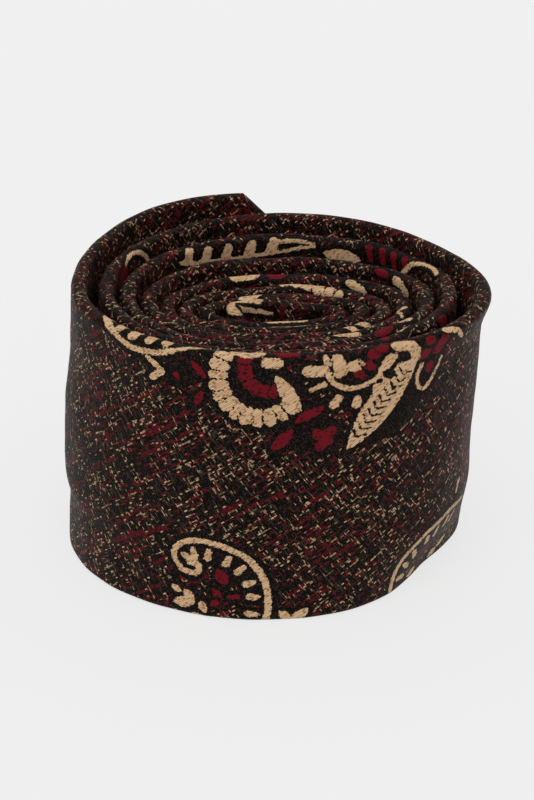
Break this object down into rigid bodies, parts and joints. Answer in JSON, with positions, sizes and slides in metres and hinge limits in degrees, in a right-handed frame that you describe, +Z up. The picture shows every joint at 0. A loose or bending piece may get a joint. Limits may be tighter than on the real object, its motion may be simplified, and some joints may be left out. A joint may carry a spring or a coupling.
{
  "type": "necktie",
  "caption": "Folded and lined necktie with pointed ends, rolled into a flat-topped spiral that stands on its long folded edge.",
  "frame": {"origin": "middle of the roll's footprint, on the surface it stands on", "axes": "+Z up, +Y to the side where the outer end of the roll lies, +X to the right seen from the front"},
  "size_m": [0.1134, 0.1112, 0.0761],
  "materials": {
    "jacquard": "figured satin jacquard",
    "interlining": "brushed wool blend",
    "lining": "plain satin",
    "label": "woven satin, blank",
    "thread": "twisted polyester"
  },
  "bodies": {
    "root": {"front_blade_shell": "jacquard", "neck_shell": "jacquard", "tail_shell": "jacquard", "keeper_loop": "jacquard", "interlining": "interlining", "front_tipping": "lining", "tail_tipping": "lining", "woven_label": "label", "care_label": "label", "slip_stitch": "thread", "front_seam_stitch": "thread", "tail_seam_stitch": "thread", "front_tipping_stitch": "thread", "tail_tipping_stitch": "thread", "keeper_stitch_upper": "thread", "keeper_stitch_lower": "thread", "woven_label_stitch_upper": "thread", "woven_label_stitch_lower": "thread", "care_label_stitch": "thread", "front_bar_tack": "thread", "tail_bar_tack": "thread"}
  },
  "joints": []
}
